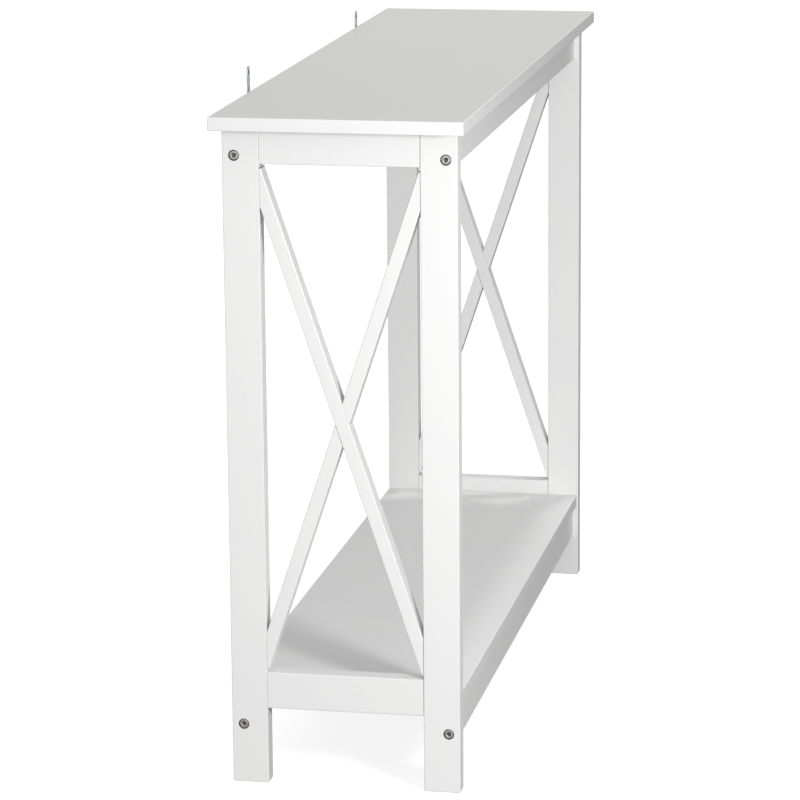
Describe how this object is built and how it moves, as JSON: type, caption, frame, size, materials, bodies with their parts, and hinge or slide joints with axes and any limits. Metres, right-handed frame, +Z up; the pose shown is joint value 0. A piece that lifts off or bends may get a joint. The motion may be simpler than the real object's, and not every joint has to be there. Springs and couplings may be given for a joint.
{
  "type": "console table",
  "caption": "Narrow knock-down console table: X-braced end frames, long aprons and lower rails, a thin top, a low full-length shelf and anti-tip plates on the back edge.",
  "frame": {"origin": "on the floor, at the centre of the whole object's box seen from above, anti-tip plates and their screws included", "axes": "+Z up; +X along the length of the top; the front faces -Y and the anti-tip plates are on the +Y edge"},
  "size_m": [1, 0.284, 0.789],
  "materials": {
    "painted_wood": "smooth white paint, satin",
    "bolt_steel": "nickel-plated steel",
    "screw_steel": "zinc-plated steel",
    "plate_steel": "zinc-plated sheet steel",
    "beech": "bare fluted beech"
  },
  "bodies": {
    "root": {"anti_tip_plate_left": "plate_steel", "anti_tip_plate_right": "plate_steel", "apron_back": "painted_wood", "apron_front": "painted_wood", "barrel_nut_left_back_lower": "bolt_steel", "barrel_nut_left_back_top": "bolt_steel", "barrel_nut_left_front_lower": "bolt_steel", "barrel_nut_left_front_top": "bolt_steel", "barrel_nut_right_back_lower": "bolt_steel", "barrel_nut_right_back_top": "bolt_steel", "barrel_nut_right_front_lower": "bolt_steel", "barrel_nut_right_front_top": "bolt_steel", "brace_left_rising_back": "painted_wood", "brace_left_rising_front": "painted_wood", "brace_right_rising_back": "painted_wood", "brace_right_rising_front": "painted_wood", "connector_bolt_left_back_lower": "bolt_steel", "connector_bolt_left_back_top": "bolt_steel", "connector_bolt_left_front_lower": "bolt_steel", "connector_bolt_left_front_top": "bolt_steel", "connector_bolt_right_back_lower": "bolt_steel", "connector_bolt_right_back_top": "bolt_steel", "connector_bolt_right_front_lower": "bolt_steel", "connector_bolt_right_front_top": "bolt_steel", "end_lower_rail_left": "painted_wood", "end_lower_rail_right": "painted_wood", "end_top_rail_left": "painted_wood", "end_top_rail_right": "painted_wood", "leg_left_back": "painted_wood", "leg_left_front": "painted_wood", "leg_right_back": "painted_wood", "leg_right_front": "painted_wood", "lower_rail_back": "painted_wood", "lower_rail_front": "painted_wood", "plate_screw_left": "screw_steel", "plate_screw_right": "screw_steel", "rail_dowel_left_back_lower": "beech", "rail_dowel_left_back_top": "beech", "rail_dowel_left_front_lower": "beech", "rail_dowel_left_front_top": "beech", "rail_dowel_right_back_lower": "beech", "rail_dowel_right_back_top": "beech", "rail_dowel_right_front_lower": "beech", "rail_dowel_right_front_top": "beech", "shelf_panel": "painted_wood", "shelf_screw_1": "screw_steel", "shelf_screw_2": "screw_steel", "shelf_screw_3": "screw_steel", "shelf_screw_4": "screw_steel", "top_panel": "painted_wood", "top_screw_1": "screw_steel", "top_screw_2": "screw_steel", "top_screw_3": "screw_steel", "top_screw_4": "screw_steel"}
  },
  "joints": []
}
